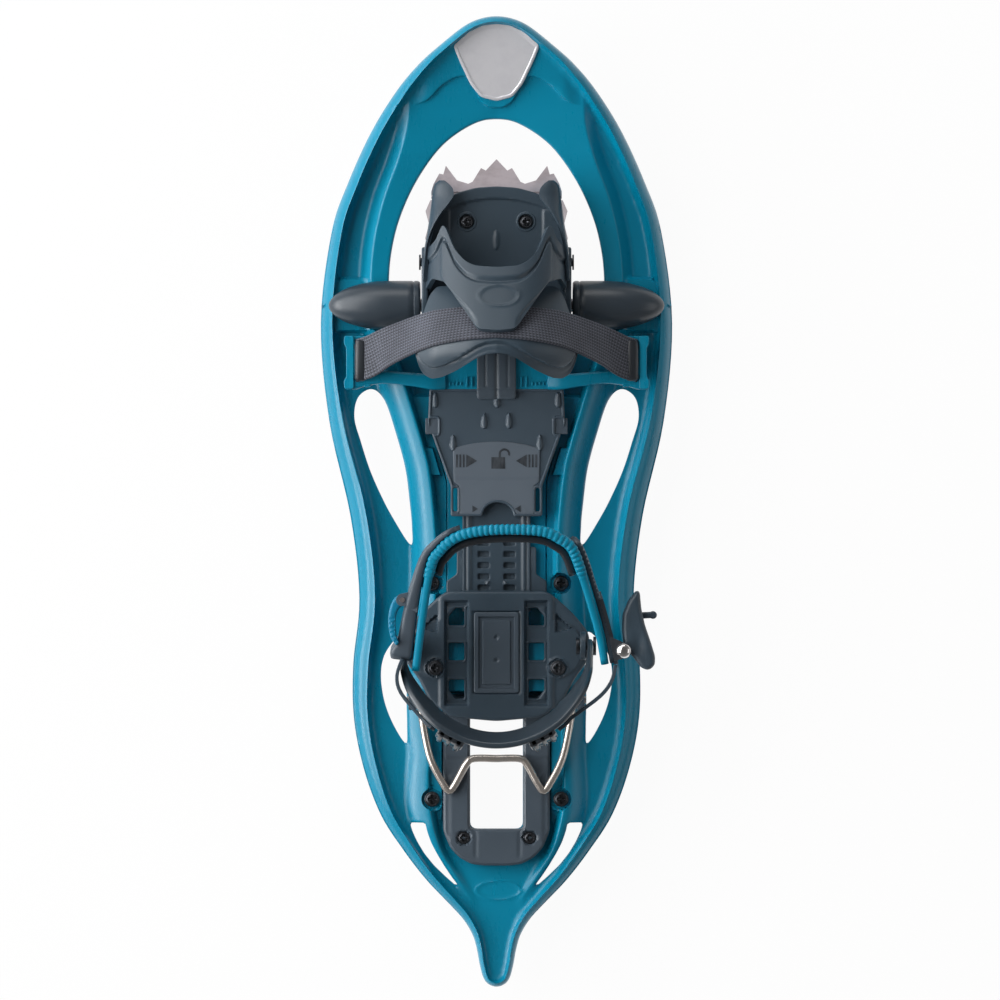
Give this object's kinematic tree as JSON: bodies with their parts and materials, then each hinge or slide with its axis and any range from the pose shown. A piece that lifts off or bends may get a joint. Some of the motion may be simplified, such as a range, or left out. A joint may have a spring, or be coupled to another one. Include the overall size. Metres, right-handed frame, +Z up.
{
  "type": "snowshoe",
  "caption": "Moulded plastic snowshoe with a pivoting toe binding, a heel carriage that slides for size, a ratchet ankle harness and a folding wire heel lifter.",
  "frame": {"origin": "middle of the shoe on the ground, at the tips of the spikes", "axes": "+X to the wearer's right, +Y towards the toe, +Z up"},
  "size_m": [0.207, 0.57, 0.124],
  "materials": {
    "deck_plastic": "satin moulded teal plastic",
    "bright_teal": "soft bright teal plastic",
    "dark_plastic": "fine-grained dark grey plastic",
    "grey_plastic": "satin grey plastic",
    "black_plastic": "semi-gloss black plastic",
    "screw_black": "blackened steel",
    "steel": "matt steel",
    "webbing": "ribbed grey webbing",
    "badge_silver": "satin silver, bare"
  },
  "bodies": {
    "deck": {"deck_frame": "deck_plastic", "toe_badge": "badge_silver", "pivot_cap_left": "dark_plastic", "pivot_cap_right": "dark_plastic", "pivot_axle": "steel", "axle_bushes": "black_plastic", "axle_rings": "steel", "cap_screws": "screw_black", "heel_rest": "grey_plastic", "heel_rest_screws": "screw_black", "deck_spikes": "steel", "spike_screws": "screw_black", "lifter_clip_left": "dark_plastic", "lifter_clip_right": "dark_plastic"},
    "lifter": {"heel_lifter": "steel"},
    "binding": {"binding_base": "deck_plastic", "hinge_bushes": "black_plastic", "toe_plate": "dark_plastic", "toe_claw": "steel", "toe_screws": "screw_black", "toe_nuts": "steel", "toe_hood": "dark_plastic", "hood_rivets": "steel", "toe_pad": "dark_plastic", "toe_strap": "webbing", "size_track": "deck_plastic", "size_cover": "grey_plastic"},
    "button_left": {"lock_button_left": "grey_plastic"},
    "button_right": {"lock_button_right": "grey_plastic"},
    "carriage": {"heel_carriage": "dark_plastic", "heel_insert": "grey_plastic", "carriage_screws": "screw_black"},
    "harness": {"heel_cup": "dark_plastic", "harness_rivets": "steel", "strap_sliders": "black_plastic", "heel_strap_left": "dark_plastic", "heel_strap_right": "dark_plastic", "ankle_pad": "bright_teal", "ankle_liner": "black_plastic", "ankle_shell": "dark_plastic", "ladder_strap": "dark_plastic", "ratchet_base": "black_plastic", "ratchet_pin": "steel", "adjuster_pin": "steel"},
    "lever": {"ratchet_lever": "black_plastic", "tab_pin": "steel"},
    "tab": {"release_tab": "black_plastic"},
    "adjuster": {"adjuster_lever": "bright_teal"}
  },
  "joints": [
    {"name": "binding_pivot", "type": "hinge", "parent": "deck", "child": "binding", "pos_m": [0, 0.116, 0.035], "axis": [-1, 0, 0], "range_deg": [0, 60]},
    {"name": "heel_lifter_swing", "type": "hinge", "parent": "deck", "child": "lifter", "pos_m": [0, -0.116, 0.033], "axis": [-1, 0, 0], "range_deg": [0, 60]},
    {"name": "size_slide", "type": "slide", "parent": "binding", "child": "carriage", "axis": [0, 1, 0], "range_m": [-0.008, 0.032]},
    {"name": "lock_press_left", "type": "slide", "parent": "binding", "child": "button_left", "axis": [1, 0, 0], "range_m": [0, 0.003], "stiffness_N_per_m": 300},
    {"name": "lock_press_right", "type": "slide", "parent": "binding", "child": "button_right", "axis": [-1, 0, 0], "range_m": [0, 0.003], "stiffness_N_per_m": 300},
    {"name": "harness_fold", "type": "hinge", "parent": "carriage", "child": "harness", "pos_m": [0, -0.084, 0.052], "axis": [-1, 0, 0], "range_deg": [0, 25]},
    {"name": "ratchet_lever_swing", "type": "hinge", "parent": "harness", "child": "lever", "pos_m": [0.074, -0.086, 0.089], "axis": [0, 0, -1], "range_deg": [0, 50]},
    {"name": "release_tab_press", "type": "hinge", "parent": "lever", "child": "tab", "pos_m": [0.0796, -0.066, 0.089], "axis": [0, 0, 1], "range_deg": [0, 12], "stiffness_Nm_per_rad": 0.05},
    {"name": "adjuster_swing", "type": "hinge", "parent": "harness", "child": "adjuster", "pos_m": [-0.0548, -0.0565, 0.097], "axis": [0, 0, -1], "range_deg": [0, 45]}
  ]
}
